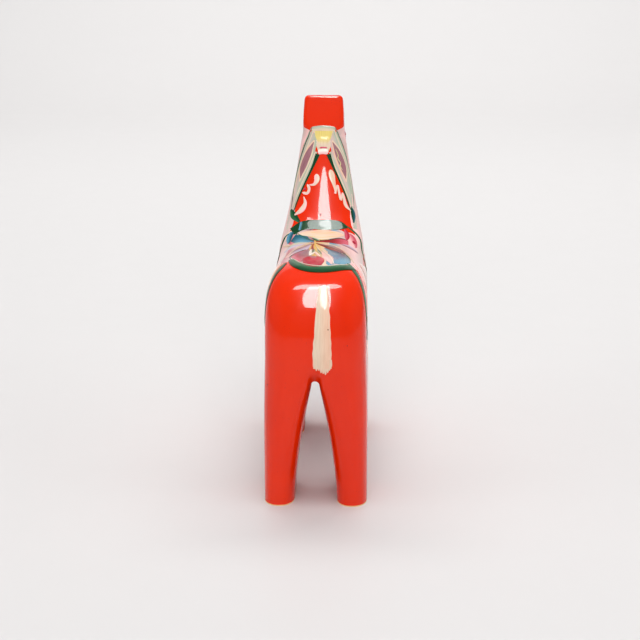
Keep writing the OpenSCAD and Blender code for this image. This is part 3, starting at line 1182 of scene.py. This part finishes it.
class DALA_OT_studio(bpy.types.Operator):
    """Makes the pale floor with its rising backdrop, the soft lights and the camera"""

    bl_idname = "dala.studio"
    bl_label = "Studio"

    def execute(self, context):
        self.floor()
        self.lights(context)
        self.camera(context)
        return {"FINISHED"}

    def floor(self):
        """One pale sheet: flat under the horse, then curving up behind it."""
        look = studio()
        near, far = -look.floor_near, look.floor_far
        bpy.ops.mesh.primitive_plane_add(size=1, location=(0, 0, 0))
        sheet = bpy.context.active_object
        sheet.name = "floor_and_backdrop"
        put(sheet, places(sheet) * (2 * look.floor_wide, far - near, 0)
            + (0, (far + near) / 2, 0))
        bpy.ops.object.mode_set(mode="EDIT")
        bpy.ops.mesh.subdivide(number_cuts=15)
        bpy.ops.mesh.select_all(action="DESELECT")
        bpy.ops.object.mode_set(mode="OBJECT")
        for edge in sheet.data.edges:
            ends = [sheet.data.vertices[v].co.y for v in edge.vertices]
            edge.select = min(ends) > far - MM
        bpy.ops.object.mode_set(mode="EDIT")
        steps = 12
        for step in range(steps):
            start, end = (math.pi / 2 * (step + k) / steps for k in (0, 1))
            bpy.ops.mesh.extrude_edges_move(TRANSFORM_OT_translate={"value": (
                0, math.sin(end) - math.sin(start), math.cos(start) - math.cos(end))})
        bpy.ops.mesh.extrude_edges_move(TRANSFORM_OT_translate={"value": (0, 0, 1.5)})
        bpy.ops.mesh.select_all(action="SELECT")
        bpy.ops.mesh.normals_make_consistent(inside=False)
        bpy.ops.object.mode_set(mode="OBJECT")
        if sheet.data.polygons[0].normal.z < 0:
            sheet.data.flip_normals()
        bpy.ops.object.shade_smooth()
        mix = Finish("pale_floor")
        grain = mix.noise(mix.here(), 30, detail=4)
        tint = tuple(look.floor)
        mix.set(
            Base_Color=mix.mixed(grain * 0.05, tint, tuple(part * 0.9 for part in tint)),
            Roughness=0.5 + grain * 0.1,
        )
        sheet.data.materials.append(mix.material)

    def softbox(self, name, place, width, depth, power, shine=False):
        """A soft light aimed at the horse: either it lights the wood or it shines in the gloss."""
        middle = Vector((0, 0, 0.13))
        lamp = bpy.data.lights.new(name, "AREA")
        lamp.shape = "ELLIPSE"
        lamp.size = width
        lamp.size_y = depth
        lamp.energy = power
        box = bpy.data.objects.new(name, lamp)
        box.visible_glossy = shine
        box.visible_diffuse = not shine
        box.location = place
        box.rotation_euler = (middle - Vector(place)).to_track_quat("-Z", "Y").to_euler()
        bpy.context.scene.collection.objects.link(box)
        return box

    def lights(self, context):
        self.softbox("strip_shine", (-0.01, -0.72, 1.38), 0.19, 1.4, 20, shine=True)
        self.softbox("cross_shine", (0.05, -0.2, 1.6), 1.0, 0.3, 14, shine=True)
        self.softbox("top_light", (0.1, -0.5, 1.5), 1.2, 1.0, 11)
        self.softbox("camera_fill", (0.1, -2.6, 1.2), 1.9, 1.6, 34)
        self.softbox("left_fill", (-2.2, -0.6, 0.9), 2, 2, 12)
        self.softbox("right_fill", (2.2, -0.4, 0.9), 2, 2, 12)
        backdrop = self.softbox("backdrop_light", (0, 1.2, 2.4), 3.4, 1.4, 70)
        backdrop.rotation_euler = Vector((0, 1.1, -2.3)).to_track_quat("-Z", "Y").to_euler()
        world = bpy.data.worlds.new("studio_air")
        world.use_nodes = True
        air = world.node_tree.nodes["Background"]
        air.inputs["Color"].default_value = (*shade(236, 238, 242), 1)
        air.inputs["Strength"].default_value = 0.25
        context.scene.world = world

    def camera(self, context):
        look = studio()
        turn, tilt = look.camera_turn, look.camera_tilt
        heading = Vector((-math.sin(turn), math.cos(turn), 0))
        aim = heading * math.cos(tilt) - Vector((0, 0, math.sin(tilt)))
        lens = bpy.data.cameras.new("camera")
        lens.lens = look.camera_lens
        lens.sensor_width = 36
        lens.shift_x = -0.002  # a small correction of where the horse stands in the frame
        camera = bpy.data.objects.new("camera", lens)
        camera.location = -heading * look.camera_back + Vector((0, 0, look.camera_height))
        camera.rotation_euler = aim.to_track_quat("-Z", "Y").to_euler()
        context.scene.collection.objects.link(camera)
        context.scene.camera = camera
        context.scene.view_settings.view_transform = "Standard"


class DALA_PT_panel(bpy.types.Panel):
    """Lists the steps of the finish in the order in which they are done"""

    bl_label = "Dala Horse"
    bl_idname = "DALA_PT_panel"
    bl_space_type = "VIEW_3D"
    bl_region_type = "UI"
    bl_category = "Dala Horse"

    def draw(self, context):
        column = self.layout.column()
        for group in (sizes(), colours(), studio()):
            for name in type(group).__annotations__:
                column.prop(group, name)
        for step in STEPS:
            column.operator(step.bl_idname)


GROUPS = {"dala_sizes": DalaSizes, "dala_colours": DalaColours, "dala_studio": DalaStudio}
STEPS = [
    DALA_OT_carve, DALA_OT_tail, DALA_OT_mane, DALA_OT_neck, DALA_OT_collar, DALA_OT_saddle,
    DALA_OT_flanks, DALA_OT_harness, DALA_OT_bridle, DALA_OT_wear, DALA_OT_studio,
]


def register():
    for kind in (*GROUPS.values(), *STEPS, DALA_PT_panel):
        bpy.utils.register_class(kind)
    for name, kind in GROUPS.items():
        setattr(bpy.types.Scene, name, PointerProperty(type=kind))


def unregister():
    for name in GROUPS:
        delattr(bpy.types.Scene, name)
    for kind in (DALA_PT_panel, *reversed(STEPS), *GROUPS.values()):
        bpy.utils.unregister_class(kind)


def main():
    register()
    for step in STEPS:
        family, name = step.bl_idname.split(".")
        getattr(getattr(bpy.ops, family), name)()


if __name__ == "__main__":
    main()
